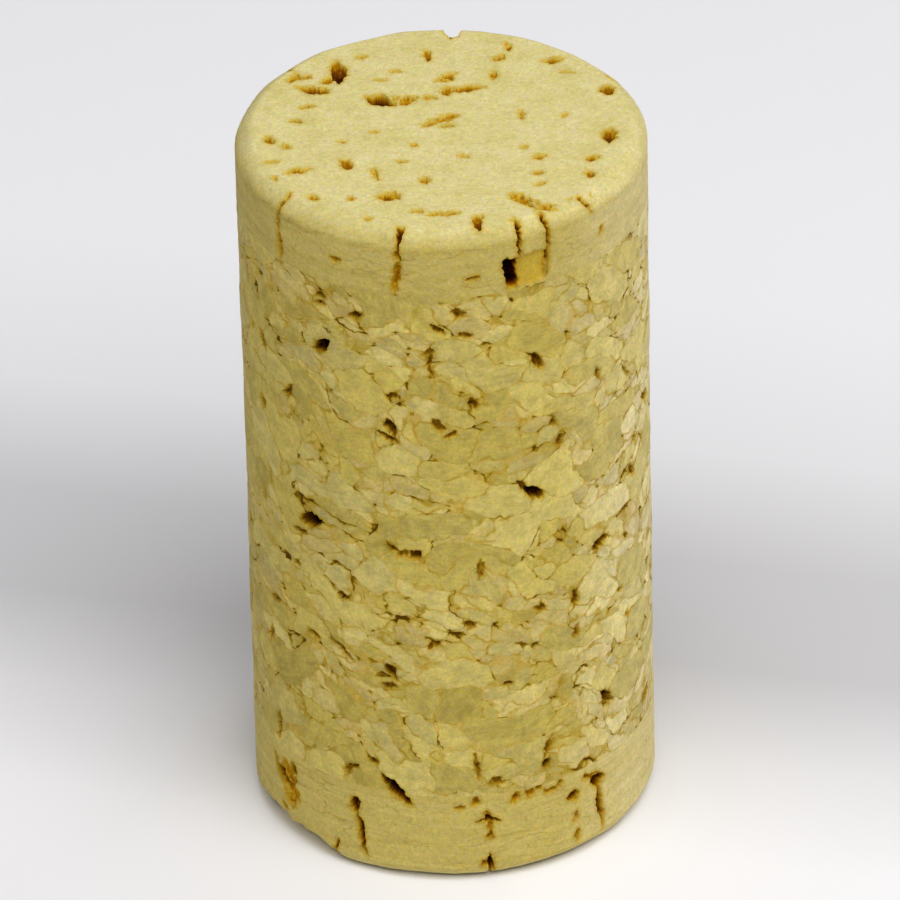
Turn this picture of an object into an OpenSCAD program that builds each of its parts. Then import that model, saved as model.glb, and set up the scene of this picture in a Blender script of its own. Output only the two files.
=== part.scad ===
// Wine cork of the technical kind: a moulded body of cork granules with a disc of natural cork on each end.
// The origin is the centre of the lower face, and +Z runs up the axis.
// A turn round the cork counts in degrees from the front, -Y, towards +X.

/* [Cork] */
// Diameter of the cork
cork_d = 23.5; // [18:0.25:30]
// Length of the cork from face to face
cork_l = 44; // [32:0.5:60]

/* [End discs] */
// Thickness of the upper disc of natural cork
top_disc_t = 4.2; // [3:0.1:8]
// Thickness of the lower disc of natural cork
bottom_disc_t = 6; // [3:0.1:8]
// Radius of the worn edge round the upper face
top_edge_r = 1; // [0.3:0.1:2]
// Radius of the worn edge round the lower face
bottom_edge_r = 0.9; // [0.3:0.1:2]

/* [Pores, cracks and voids] */
// Depth of a pore as a share of its width
pore_depth = 0.8; // [0.3:0.05:1.5]
// Depth of a crack in the side of a disc
crack_depth = 0.9; // [0.3:0.1:2]
// Depth of a void between granules as a share of its width
void_depth = 1; // [0.3:0.05:1.5]

/* [Lost flake] */
// Turn of the middle of the flake's place
flake_turn = 25; // [-60:0.5:60]
// Width of the flake's place, measured round the cork
flake_w = 1.7; // [0.5:0.1:4]
// Height of the flake's place
flake_h = 2; // [0.5:0.1:2.4]
// Depth of the flake's place
flake_depth = 0.4; // [0.1:0.05:1]
// Cork left between the flake's place and the lower side of the disc
flake_floor = 0.15; // [0.1:0.05:0.5]
// Width of the hole at the left of the flake's place
hole_w = 0.8; // [0.2:0.1:1.5]
// Depth of that hole
hole_depth = 1.4; // [0.5:0.1:3]

/* [Worn place] */
// Turn of the worn place on the lower rim
wear_turn = -58; // [-180:1:180]
// How far the wear reaches in across the lower face
wear_in = 1.4; // [0.5:0.1:2.5]
// How far the wear reaches up the side
wear_up = 1.8; // [0.5:0.1:2.5]

/* [Unseen sides] */
// Number of pores in the lower face
base_pores = 26; // [1:1:40]
// Number of voids round the back of the body
back_voids = 34; // [1:1:60]
// Seed that varies the size and slant of those pores and voids
scatter_seed = 11; // [1:1:99]

/* [Hidden] */

cork_r = cork_d / 2;
body_l = cork_l - top_disc_t - bottom_disc_t;
top_disc_z = bottom_disc_t + body_l;
whole_turn = 360;
golden_turn = 137.5;
round_fn = 128;
mark_fn = 64;
// How far a cut runs out past the surface that it opens
clear = 1;
// How far a bowl reaches past the ends of its opening
bowl_spread = 1.1;
flake_half_turn = flake_w / cork_r * 90 / PI;

// Pores in the upper face: x and y in per cent of the radius, length, width, turn of the length from +X
top_pores = [
    [-49, 53, 2.8, 1.0, 92],
    [-54, 46, 1.0, 0.6, 70],
    [-70, 50, 1.3, 0.5, 65],
    [-61, 37, 2.1, 0.8, -22],
    [-29, 26, 2.1, 1.1, -40],
    [-17, 24, 1.0, 0.6, 10],
    [3, 47, 1.6, 0.6, 25],
    [11, 36, 2.8, 0.7, 5],
    [3, 34, 1.0, 0.7, 80],
    [-6, 68, 1.2, 0.5, 90],
    [33, 75, 1.1, 0.4, 105],
    [30, 65, 0.9, 0.6, 30],
    [55, 61, 1.2, 0.6, 20],
    [27, 47, 0.9, 0.4, 85],
    [80, 31, 1.2, 0.9, 100],
    [81, -11, 1.6, 0.8, 90],
    [-6, 3, 0.9, 0.6, 30],
    [4, 11, 1.3, 0.4, 5],
    [-82, -8, 0.8, 0.5, 80],
    [-75, -14, 0.7, 0.4, -20],
    [-81, -28, 0.9, 0.4, 0],
    [-69, -38, 1.5, 0.5, 12],
    [-46, -33, 1.1, 0.7, -60],
    [-31, -43, 1.3, 0.3, 100],
    [-9, -49, 0.8, 0.5, 90],
    [-62, -62, 0.8, 0.5, -40],
    [-26, -64, 1.5, 0.7, -10],
    [-1, -80, 1.7, 0.5, 5],
    [16, -88, 1.5, 0.7, 95],
    [47, -29, 1.0, 0.6, 30],
    [72, -32, 1.0, 0.6, 25],
    [70, -46, 0.9, 0.5, 100],
    [38, -70, 2.4, 0.4, -45],
    [50, -77, 1.5, 0.4, -5],
    [73, -67, 1.9, 0.3, -62],
    [-38, 68, 0.7, 0.4, 10],
    [7, 100, 4.4, 1.4, 90],
];

// Cracks in the side of the upper disc: turn, height in per cent of the disc, length, width,
// lean of the upper end
top_cracks = [
    [-12.5, 100, 0.9 * top_disc_t, 0.3, 0],
    [-51.5, 100, 1.8 * top_disc_t, 0.2, 2],
    [flake_turn - flake_half_turn + 0.6, 100, 1.1 * top_disc_t, 0.3, 0],
    [flake_turn + flake_half_turn + 0.5, 100, 1.9 * top_disc_t, 0.3, 0],
    [44, 100, 0.5 * top_disc_t, 0.3, -20],
    [118, 100, 1.3 * top_disc_t, 0.3, 5],
    [168, 100, 0.9 * top_disc_t, 0.4, 0],
    [231, 100, 1.7 * top_disc_t, 0.4, -4],
];

// Voids in the front of the body: turn, height in per cent of the body, length, width,
// lean of the upper end
front_voids = [
    [-37, 87, 1.5, 0.9, 40],
    [26, 85, 1.3, 0.6, -15],
    [24.5, 59, 1.4, 0.8, -50],
    [21, 61, 1.7, 0.4, -40],
    [-43, 51, 1.9, 0.9, 72],
    [-47, 48, 1.1, 0.4, 90],
    [-16.5, 74, 1.2, 0.5, -20],
    [-17.5, 72, 1.3, 0.4, -70],
    [-2.5, 75, 1.0, 0.4, -35],
    [33, 68, 1.0, 0.4, -10],
    [-16.5, 50, 1.0, 0.4, -60],
    [-10, 49, 0.9, 0.5, 40],
    [47, 44, 1.4, 0.8, 80],
    [-26, 95, 1.0, 0.4, 70],
    [-37, 97, 0.7, 0.4, 80],
    [4, 97, 0.9, 0.4, -80],
    [-3, 94, 1.2, 0.4, -50],
    [-4.5, 87, 2.0, 0.3, -3],
    [7, 79, 0.8, 0.4, -25],
    [-15, 80, 0.8, 0.4, 70],
    [-50, 75, 1.0, 0.5, 30],
    [-63, 81, 1.2, 0.5, -30],
    [47, 78, 0.9, 0.4, -20],
    [8.5, 46, 1.3, 0.4, 10],
    [32, 49, 1.0, 0.3, -10],
    [26, 36, 0.6, 0.4, 90],
    [5, 35, 0.8, 0.4, -70],
    [-17.5, 25, 1.2, 0.6, -40],
    [-18, 22, 1.1, 0.4, 80],
    [-33, 27, 1.9, 0.4, -55],
    [-43, 28, 1.2, 0.3, -75],
    [-32, 38, 1.0, 0.5, 80],
    [-60, 30, 1.3, 0.4, 75],
    [-5, 31, 0.9, 0.4, 60],
    [37, 35, 0.9, 0.6, 20],
    [64, 53, 1.1, 0.5, -30],
    [-64, 22, 1.1, 0.4, 15],
    [49, 12, 1.6, 0.5, -45],
    [27, 4, 0.8, 0.6, 30],
    [5.8, 6, 2.2, 0.3, -8],
    [-24, 6, 0.8, 0.4, -50],
    [-31, 3, 1.2, 0.4, 60],
    [-60, 5, 1.6, 0.4, 5],
];

// Cracks in the side of the lower disc, listed as those of the upper disc are
bottom_cracks = [
    [-30, 77, 1.1, 0.8, 0],
    [-28, 45, 0.6 * bottom_disc_t, 0.4, -10],
    [-60, 68, 2.6, 0.5, -37],
    [-53.5, 83, 1.0, 0.6, 10],
    [35, 73, 1.1, 0.6, 80],
    [45, 75, 1.1, 0.7, 70],
    [46, 43, 0.5 * bottom_disc_t, 0.4, -5],
    [9, 70, 1.5, 0.3, 85],
    [9.5, 0, 0.7 * bottom_disc_t, 0.3, 0],
    [-38, 0, 0.6 * bottom_disc_t, 0.3, 15],
    [105, 0, 1.5 * bottom_disc_t, 0.4, 6],
    [164, 60, 0.4 * bottom_disc_t, 0.6, 12],
    [207, 0, 1.2 * bottom_disc_t, 0.4, -8],
    [255, 70, 1.6, 0.7, 70],
];

// Slit across the lower join: turn and height above the join of its middle, length, width,
// lean of the upper end
join_slit_turn = -17;
join_slit_rise = 0.2;
join_slit_l = 2.8;
join_slit_w = 0.7;
join_slit_lean = -40;

// Least and greatest length and width of a pore in the lower face,
// and how far out the pores lie in per cent of the radius
lower_pore_l = [0.9, 2.2];
lower_pore_w = [0.4, 0.8];
lower_pore_reach = 90;

// Turns and heights between which the voids at the back of the body lie,
// and their least and greatest length and width
rear_void_turn = [72, 288];
rear_void_height = [4, 96];
rear_void_l = [0.9, 1.8];
rear_void_w = [0.3, 0.8];

// Value at a share of the way through a span
function between(span, share) = span[0] + (span[1] - span[0]) * share;

// Pores in the lower face, spread by a golden turn and listed as those of the upper face are
lower_pores = [
    for (i = [0 : base_pores - 1])
        let (draw = rands(0, 1, 3, scatter_seed + i))
        let (reach = lower_pore_reach * sqrt((i + draw[0]) / base_pores))
        [reach * cos(i * golden_turn), reach * sin(i * golden_turn),
         between(lower_pore_l, draw[1]), between(lower_pore_w, draw[2]), whole_turn * draw[0]]
];

// Voids round the back of the body, listed as those in its front are
rear_voids = [
    for (i = [0 : back_voids - 1])
        let (draw = rands(0, 1, 3, scatter_seed + base_pores + i))
        let (turned = i * golden_turn / whole_turn)
        [between(rear_void_turn, turned - floor(turned)),
         between(rear_void_height, (i + draw[0]) / back_voids),
         between(rear_void_l, draw[1]), between(rear_void_w, draw[2]), whole_turn * draw[0]]
];

// Radius of the arc with a chord and a rise
function arc_radius(chord, rise) = (pow(chord / 2, 2) + pow(rise, 2)) / (2 * rise);

// Narrow opening with pointed ends in a face at z = 0: length along Y, depth down from the face
module crack(length, width, depth) {
    arc_r = arc_radius(length, width / 2);
    translate([0, 0, -depth])
        linear_extrude(depth + clear)
            intersection_for (side = [-1, 1])
                translate([side * (arc_r - width / 2), 0]) circle(arc_r, $fn = mark_fn);
}

// The same opening with a bowl for its floor, deepest in the middle
module gouge(length, width, depth) {
    bowl_r = arc_radius(bowl_spread * length, depth);
    intersection() {
        crack(length, width, depth);
        translate([0, 0, bowl_r - depth]) sphere(bowl_r, $fn = mark_fn);
    }
}

// Sets an opening into the side at a turn and a height, with its upper end leaning
module on_side(turn, z, lean) {
    rotate([0, 0, turn])
        translate([0, -cork_r, z])
            rotate([90, 0, 0])
                rotate([0, 0, -lean]) children();
}

// Hollows in a flat face at z = 0, with the solid below it
module face_pores(rows) {
    for (row = rows)
        translate([row[0] * cork_r / 100, row[1] * cork_r / 100, 0])
            rotate([0, 0, row[4] - 90]) gouge(row[2], row[3], pore_depth * row[3]);
}

// Cracks in the side of a piece that stands on base_z
module side_cracks(rows, base_z, height) {
    for (row = rows)
        on_side(row[0], base_z + row[1] * height / 100, row[4]) crack(row[2], row[3], crack_depth);
}

// Hollows in the side of the body
module side_voids(rows) {
    for (row = rows)
        on_side(row[0], bottom_disc_t + row[1] * body_l / 100, row[4])
            gouge(row[2], row[3], void_depth * row[3]);
}

// The one slit that runs from the body into the lower disc
module join_slit() {
    on_side(join_slit_turn, bottom_disc_t + join_slit_rise, join_slit_lean)
        crack(join_slit_l, join_slit_w, crack_depth);
}

// Part of a ring under the side, open outwards, from a turn, as wide round the cork as said
module ring_cut(turn, width, z, height, depth) {
    sweep = width / cork_r * 180 / PI;
    rotate([0, 0, turn - 90])
        rotate_extrude(angle = sweep, $fn = round_fn)
            translate([cork_r - depth, z]) square([depth + clear, height]);
}

// The place of the lost flake, with its deeper hole beside it
module flake_place() {
    hole_turn = hole_w / cork_r * 180 / PI;
    start_turn = flake_turn - flake_half_turn - hole_turn;
    floor_z = top_disc_z + flake_floor;
    ring_cut(start_turn + hole_turn / 2, flake_w + hole_w / 2, floor_z, flake_h, flake_depth);
    ring_cut(start_turn, hole_w, floor_z, flake_h, hole_depth);
}

// Flat cut across the lower rim where it is worn away
module worn_place() {
    rotate([0, 0, wear_turn])
        translate([0, -cork_r, 0])
            rotate([90, 0, 90])
                linear_extrude(cork_d, center = true)
                    polygon([
                        [wear_in, 0], [0, wear_up], [-clear, wear_up], [-clear, -clear], [wear_in, -clear],
                    ]);
}

// Round disc standing on z = 0, with a worn edge round its upper face
module disc_blank(thickness, edge_r) {
    rotate_extrude($fn = round_fn) {
        square([cork_r - edge_r, thickness]);
        square([cork_r, thickness - edge_r]);
        translate([cork_r - edge_r, thickness - edge_r]) circle(edge_r);
    }
}

module top_disc() {
    color("#d9ca87")
        difference() {
            translate([0, 0, top_disc_z]) disc_blank(top_disc_t, top_edge_r);
            translate([0, 0, cork_l]) face_pores(top_pores);
            side_cracks(top_cracks, top_disc_z, top_disc_t);
            flake_place();
        }
}

module granule_body() {
    color("#c4b06d")
        difference() {
            translate([0, 0, bottom_disc_t]) cylinder(h = body_l, r = cork_r, $fn = round_fn);
            side_voids(front_voids);
            side_voids(rear_voids);
            join_slit();
        }
}

module bottom_disc() {
    color("#cdbb78")
        difference() {
            translate([0, 0, bottom_disc_t])
                mirror([0, 0, 1]) disc_blank(bottom_disc_t, bottom_edge_r);
            mirror([0, 0, 1]) face_pores(lower_pores);
            side_cracks(bottom_cracks, 0, bottom_disc_t);
            worn_place();
            join_slit();
        }
}

top_disc();
granule_body();
bottom_disc();
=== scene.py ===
import math

import bmesh
import bpy
import numpy as np
from mathutils import Matrix, Vector
from mathutils.bvhtree import BVHTree
from mathutils.kdtree import KDTree


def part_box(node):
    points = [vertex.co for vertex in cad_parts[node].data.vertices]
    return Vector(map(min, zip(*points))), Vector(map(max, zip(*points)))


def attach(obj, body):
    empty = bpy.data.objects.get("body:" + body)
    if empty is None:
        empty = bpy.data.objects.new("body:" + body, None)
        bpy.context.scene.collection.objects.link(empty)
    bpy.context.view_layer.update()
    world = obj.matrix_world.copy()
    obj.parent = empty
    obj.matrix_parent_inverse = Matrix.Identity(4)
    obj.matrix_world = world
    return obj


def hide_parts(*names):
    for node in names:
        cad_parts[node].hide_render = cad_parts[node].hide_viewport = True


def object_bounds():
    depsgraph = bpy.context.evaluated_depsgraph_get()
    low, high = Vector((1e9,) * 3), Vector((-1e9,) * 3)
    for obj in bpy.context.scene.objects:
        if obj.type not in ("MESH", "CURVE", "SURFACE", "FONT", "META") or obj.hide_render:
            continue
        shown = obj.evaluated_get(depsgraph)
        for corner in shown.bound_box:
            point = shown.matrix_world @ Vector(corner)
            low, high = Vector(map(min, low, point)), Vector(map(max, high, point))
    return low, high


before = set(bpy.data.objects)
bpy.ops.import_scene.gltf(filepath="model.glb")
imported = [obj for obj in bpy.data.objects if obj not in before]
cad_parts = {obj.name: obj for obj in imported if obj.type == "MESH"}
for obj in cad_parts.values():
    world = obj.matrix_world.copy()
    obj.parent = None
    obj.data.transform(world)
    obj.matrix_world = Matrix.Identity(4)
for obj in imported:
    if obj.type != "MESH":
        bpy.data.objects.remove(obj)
cad_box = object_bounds()

# Sizes, in millimetres: meshes are scaled to the frame's metres when they are made
MM = 0.001
RADIUS = cad_box[1].x / MM
LENGTH = cad_box[1].z / MM
TOP_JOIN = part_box("top_disc")[0].z / MM
BOTTOM_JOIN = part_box("bottom_disc")[1].z / MM
TOP_EDGE_R = 1.0
BOTTOM_EDGE_R = 0.9
# A point this near a plane or the axis counts as on it, and the least length that anything is divided by
LEVEL = 1e-6
TINY = 1e-9

# Mesh density: cells across a disc's face, rows down an edge and the step of rows down a side, columns and
# rows of the body, and cuts in each cell's edges at a mark
FACE_CELLS = 168
EDGE_ROWS = 12
DISC_ROW_STEP = 0.13
BODY_COLUMNS = 400
BODY_ROWS = 180
MARK_CUTS = 2

# Pores, cracks and voids: how rays find them, how ragged their outlines and how uneven their floors are,
# how far a floor rises in places, and the depths from which a point counts as in a mark and deep in it
RAY_LIFT = 0.4
RAY_REACH = 3.0
JOIN_MARGIN = 0.02
RAGGED_COARSE = 0.15
RAGGED_COARSE_SIZE = 0.8
RAGGED_FINE = 0.1
RAGGED_FINE_SIZE = 0.22
FLOOR_UNEVEN = 0.25
FLOOR_RISE = 0.6
FLOOR_RISE_SIZE = 0.9
MARK_DEPTH = 0.02
DEEP_MARK = 0.12

# The place of the lost flake, which shows fresh cork: its turns in degrees, heights and depth
FLAKE_TURNS = (20.9, 29.1)
FLAKE_HEIGHTS = (TOP_JOIN + 0.15, TOP_JOIN + 2.15)
FLAKE_DEPTH = 0.4
# The flat on the lower rim: its turn, its reach across the face and up the side, and the least slope
# that its depth is measured along
WEAR_TURN = math.radians(-58)
WEAR_IN = 1.4
WEAR_UP = 1.8
WEAR_LEAST_SLOPE = 0.2
# How much of the flake's place and of the flat is drawn, how unevenly and over what distance
WEAR_SHARE = 0.75
WEAR_UNEVEN = 0.45
WEAR_UNEVEN_SIZE = 1.1

# Relief of the plain surface: height and size of its waves and grain, and wear along the rims
WAVE_HEIGHT = 0.05
WAVE_SIZE = 3.5
GRAIN_HEIGHT = 0.012
GRAIN_SIZE = 0.3
RIM_WEAR = 0.22
RIM_WEAR_SIZE = 2.2

# Shallow specks too small for the solids: depth as a share of the width, the deepest, and how rough
# their outlines are
SPECK_DEPTH = 0.8
SPECK_DEEPEST = 0.32
SPECK_ROUGH = 0.5
SPECK_ROUGH_SIZE = 0.25
# Their places: x and y on the face, or turn in degrees and height on the side, then length, width and lean
# in degrees
FACE_SPECKS = [
    (-0.7, 3.1, 0.9, 0.4, 10), (0.4, 0.1, 0.7, 0.35, 0), (4.6, 1.1, 1.3, 0.3, 85),
    (-8.3, 1.0, 0.6, 0.4, 0), (-7.6, 2.5, 0.6, 0.4, 20), (-9.5, -5.2, 0.7, 0.3, 0),
    (-2.1, -3.6, 0.5, 0.3, 0), (-5.1, -7.5, 0.6, 0.3, 0), (-1.4, -9.1, 0.7, 0.3, 10),
    (-4.2, -9.7, 0.6, 0.3, 0), (5.4, -5.2, 0.6, 0.4, 0), (5.5, -6.4, 0.5, 0.3, 0),
    (4.7, -2.5, 0.5, 0.3, 0), (1.3, -3.2, 0.6, 0.3, 0), (-5.5, -1.4, 0.6, 0.3, 0),
    (-1.6, -1.9, 0.5, 0.3, 0), (-3.8, -0.4, 0.6, 0.3, 0), (-2.5, 6.3, 0.6, 0.3, 0),
    (-3.3, 5.3, 0.8, 0.3, 0), (7.1, 1.0, 0.6, 0.3, 60), (7.1, 5.7, 0.7, 0.3, 0),
    (7.5, -8.2, 0.9, 0.5, 20), (-7.8, 5.8, 1.2, 0.5, 10), (-2.1, 3.3, 1.3, 0.5, 5),
    (0.3, 5.3, 1.1, 0.6, 0), (-0.2, 0.75, 1.5, 0.5, 20), (-2.9, -7.3, 1.2, 0.8, 0),
    (0.3, -9.2, 1.6, 0.4, 8), (4.6, -7.9, 1.6, 0.5, -35), (5.8, -8.7, 1.4, 0.45, -20),
]
TOP_SIDE_SPECKS = [
    (-13, 42.5, 0.5, 0.4, 90), (-13.4, 41, 2.4, 0.4, 86), (-51.8, 40.8, 1.6, 0.4, 88),
    (-31, 41.4, 0.7, 0.3, 30), (8, 41, 0.8, 0.3, 10), (49, 41.6, 0.7, 0.3, 60),
    (25.5, 39.7, 1.7, 0.3, 0),
]
BODY_SPECKS = [
    (1, 30.7, 0.8, 0.4, 30), (-37, 38.1, 0.6, 0.4, 0), (5, 37.3, 0.9, 0.4, -20),
    (-5, 36.2, 0.6, 0.4, 60), (31, 30.4, 0.6, 0.5, 70), (-64, 29, 0.7, 0.4, 60),
    (-70, 33.6, 0.6, 0.4, 90), (-48, 19.8, 0.6, 0.4, 0), (37, 15.8, 0.9, 0.4, 70),
    (60, 14.7, 0.6, 0.4, 0), (56, 16.6, 0.5, 0.4, 0), (66, 25.8, 0.6, 0.4, 80),
    (15, 13.5, 0.7, 0.4, 0), (11.5, 6.9, 0.9, 0.7, 0), (27, 8.4, 1.2, 0.4, 70),
    (-13, 22.6, 1.0, 0.5, 20), (-60.5, 7.3, 2.0, 0.35, 88),
]
BOTTOM_SPECKS = [
    (36.5, 2.9, 0.8, 0.4, 80), (36.5, 1.5, 0.8, 0.4, 70), (41, 5.3, 0.9, 0.4, 0),
    (-55.5, 3.7, 3.2, 1.5, 105), (17, 5.5, 0.9, 0.5, 60), (28, 5.5, 1.1, 0.4, 10),
    (-58, 1.9, 0.7, 0.4, 0), (9.2, 4.1, 1.7, 0.4, 95), (9.4, 3.1, 0.5, 0.4, 0),
    (8.2, 1.2, 0.7, 0.5, 60), (21, 5.7, 0.8, 0.5, -20), (24, 5.8, 0.5, 0.4, 0),
    (31, 5.7, 0.5, 0.4, 40), (5.5, 5.6, 0.6, 0.4, 80), (1, 5.2, 0.8, 0.3, -10),
    (35.3, 4.4, 1.0, 0.8, 30), (43.5, 4.9, 1.1, 0.8, 60), (45.3, 3.3, 2.6, 0.4, 95),
]

# Granules: sizes of the two kinds, which large ones break into small, their stretch and tilt
GRANULE_LARGE = 2.4
GRANULE_SMALL = 1.5
SPLIT_ABOVE = 0.5
GRANULE_STRETCH = (0.75, 0.75, 1.35)
GRANULE_TILT = math.radians(-18)
# How the pattern wanders: waves per millimetre and reach, with the detail of these waves, and the digits
# that tell one granule's tone from another's
GRANULE_WANDER = [(0.15, 4.0), (0.8, 0.9), (2.4, 0.35)]
WANDER_DETAIL = 1.0
TONE_DIGITS = 5
# Seams between granules: reach of the soft meeting, what brings it to its value on a seam, and how closely
# granules meet where a fine or a wide line and a knot of lines begin
SEAM_SOFT = 0.75
MEET_SCALE = 8
ON_SEAM = 1.0
SEAM_FINE = 0.5
SEAM_WIDE = 0.05
KNOT_FROM = 0.98
KNOT_FULL = 2.2
# Relief of seams and knots, steps between granules, and how far from a join these fade
SEAM_GROOVE = 0.03
KNOT_GROOVE = 0.14
GRANULE_STEP = 0.05
JOIN_FADE = 0.5

# How far a granule corner is drawn to a void, over what distance, and the least spacing of two voids
CORNER_REACH = 2.2
CORNER_SPREAD = 1.1
VOID_SPACING = 0.9

# Flat maps, in shares of their width: strips of the side as lowest place and height, then a round for each
# end as its middle and radius, a disc's outer face first
MAP_EDGE = 0.01
MAPS = {
    "granule_cork": ([(0.01, 0.86)], [(0.1, 0.94, 0.05), (0.3, 0.94, 0.05)]),
    "natural_cork": ([(0.73, 0.12), (0.87, 0.12)], [(0.36, 0.36, 0.35), (0.85, 0.5, 0.1)]),
}

# Colours in sRGB from 0 to 255, in a palette each with its place from 0 to 1, or its depth in millimetres
DISC_SIDE = [(0.3, (186, 166, 86)), (0.5, (192, 173, 94)), (0.7, (198, 181, 104))]
DISC_FACE = [(0.3, (206, 192, 122)), (0.5, (214, 201, 136)), (0.7, (219, 206, 148))]
DISC_RIPPLE = (160, 133, 58)
DISC_FLECK = (205, 176, 84)
FRESH_CORK = (202, 171, 62)
# The disc's marks by depth: golden and brown cork inside, darker towards black with depth as painted shade
DISC_MARKS_AND_DEPTH_SHADE = [
    (0.15, (198, 156, 20)), (0.3, (170, 120, 10)), (0.5, (120, 68, 4)),
    (0.8, (64, 22, 3)), (1.0, (44, 6, 3)),
]
GRANULES = [
    (0.0, (188, 168, 80)), (0.3, (199, 180, 94)), (0.55, (210, 193, 115)),
    (0.8, (201, 179, 103)), (1.0, (196, 180, 108)),
]
GRANULE_WARM = (202, 166, 74)
SEAM_SHADES = [(0.35, (184, 157, 52)), (0.65, (158, 131, 28))]
KNOT_SHADES = [
    (0.08, (178, 148, 36)), (0.3, (154, 123, 18)), (0.6, (128, 98, 9)), (0.95, (90, 62, 5)),
]
STROKE_SHADE = (170, 138, 40)
# The voids by depth: golden and brown inside, darker towards black with depth as painted shade
VOID_MARKS_AND_DEPTH_SHADE = [
    (0.1, (180, 144, 32)), (0.25, (150, 110, 12)), (0.45, (112, 75, 5)),
    (0.65, (58, 29, 2)), (0.85, (24, 7, 1)),
]
# Fine grain: its common part, and its part in each channel
GRAIN_LEVEL = 0.6
GRAIN_CHANNELS = (0.45, 0.6, 2.0)
# What is left of each channel in the stain round a mark, and what the painted sheen on the right side adds
# to each
STAIN = (0.88, 0.74, 0.3)
PAINTED_SHEEN_TINT = (0.21, 0.27, 1.0)
# How far right the painted sheen, a paler tint standing in for light reflected on the lit side, begins and
# ends
PAINTED_SHEEN_SPAN = (5.5, 11)
# Each disc's look: brightness of its side, and how far its worn places show fresh cork
TOP_LOOK = (1.0, 1.0)
BOTTOM_LOOK = (1.08, 0.15)
# The floor's painted shadow band, from in front of the cork to behind it, in the span given in metres, and
# how the band slants
FLOOR_SPAN = (-0.01, 0.06)
FLOOR_SLANT = 0.25
FLOOR_PAINTED_SHADOW = [
    (0.05, (243, 242, 245)), (0.2, (230, 229, 232)), (0.34, (206, 205, 208)),
    (0.5, (209, 208, 211)), (0.68, (233, 232, 235)), (0.93, (241, 240, 243)),
]

# Noises of the finishes: waves per millimetre, detail and, where it isn't the usual one, roughness
GRAIN_NOISE = (4.5, 3.0, 0.9)
BUMP_NOISE = (4.0, 4.0, 0.65)
MARK_NOISE = (5.0, 3.0)
BAND_NOISE = (1.0, 4.0, 0.6)
RIPPLE_NOISE = (1.0, 3.0)
RIPPLE_PATCH_NOISE = (0.35, 2.0)
SIDE_MOTTLE_NOISE = (1.0, 4.0, 0.7)
FACE_NOISE = (0.5, 4.0, 0.6)
FACE_MOTTLE_NOISE = (2.0, 4.0, 0.6)
FLECK_NOISE = (1.6, 2.0)
STREAK_NOISE = (1.0, 3.0, 0.6)
MOTTLE_NOISE = (1.2, 3.0)
WARM_NOISE = (0.7, 2.0)
SEAM_SHADE_NOISE = (0.6, 2.0)
SEAM_PATCH_NOISE = (0.6, 3.0)
SEAM_STRENGTH_NOISE = (1.1, 3.0)
KNOT_NOISE = (0.8, 1.0)
# What the place that a noise reads is multiplied by, so that it runs in bands, waves or streaks
BAND_STRETCH = (0.1, 0.1, 2.0)
RIPPLE_STRETCH = (0.2, 0.2, 0.7)
SIDE_MOTTLE_STRETCH = (0.9, 0.9, 1.3)
STREAK_STRETCH = (0.6, 0.6, 5.0)
# Middle of the three channels of a noise or a random tone
MIDDLE = (0.5, 0.5, 0.5)

# Smooth steps of the finishes: where they begin and end, then what they give there if not 0 and 1
# Natural cork: folds, width and strength of the ripples, mottles, flecks, and the depths of fresh cork
RIPPLE_FOLDS = 6.0
RIPPLE_LINE = (0.0, 0.09, 1.0, 0.0)
RIPPLE_STRENGTH = (0.35, 0.6, 0.0, 0.5)
SIDE_MOTTLE = (0.3, 0.7, 0.92, 1.07)
FACE_MOTTLE = (0.3, 0.7, 0.95, 1.03)
FLECKS = (0.66, 0.76, 0.0, 0.5)
FRESH_DEPTHS = (0.1, 0.3)
# Granules: level by mottle, streaks and random tone, warm places by noise and by meeting, and dark strokes
MOTTLE = (0.3, 0.7, -0.13, 0.1)
STREAK_LEVEL = (0.25, 0.75, -0.09, 0.07)
TONE_LEVEL = (0.0, 1.0, 0.9, 1.07)
WARM = (0.4, 0.65, 0.0, 0.6)
WARM_MEET = (0.0, 0.9)
STROKES = (0.62, 0.72, 0.0, 0.45)
# Seams and knots: width and strength by noise, fading into a knot, growth beside a void, and cover
SEAM_PATCHES = (0.4, 0.7)
SEAM_STRENGTH = (0.4, 0.64, 0.14, 1.0)
SEAM_INTO_KNOT = (1.05, 1.4, 1.0, 0.3)
SEAM_BY_VOID = (0.1, 0.7, 1.0, 0.0)
SEAM_COVER = 0.95
KNOT_CHANCE = (0.42, 0.54)
KNOT_COVER = (0.0, 0.3)
# Marks by depth: inside, coloured and dull, how uneven that depth is, and the stain by distance
MARK_INSIDE = (0.0, 0.06)
MARK_COLOURED = (0.06, 0.24)
MARK_DULL = (0.0, 0.15, 0.0, 0.25)
MARK_UNEVEN = (0.3, 0.7, -0.1, 0.1)
STAIN_UNEVEN = (0.3, 0.7, 0.0, 0.15)
STAIN_FROM = 0.05
DISC_STAIN_REACH = 0.4
VOID_STAIN_REACH = 0.35
# The dry surface, its bump with a height in metres, and its roughness by grain
DRY_SURFACE = {"Roughness": 0.82, "Specular IOR Level": 0.04, "Sheen Weight": 0.08, "Sheen Roughness": 0.2}
BUMP_STRENGTH = 0.6
BUMP_HEIGHT = 0.0001
GRAIN_ROUGHNESS = (0.3, 0.7, 0.62, 0.76)

# Camera, fitted to the cork's outline in the photograph
CAMERA_ELEVATION = math.radians(32.8)
CAMERA_ROLL = math.radians(-1.29)
CAMERA_DISTANCE = 0.6155
CAMERA_AIM = Vector((0.0001, 0.0, 0.0222))
CAMERA_LENS = 427.1
SENSOR_WIDTH = 36.0

# Light: the world's share and each lamp's share of what falls on the upper face, so that a colour renders
# about as written
WORLD_SHARE = 0.2
LAMP_DISTANCE = 0.6
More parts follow.
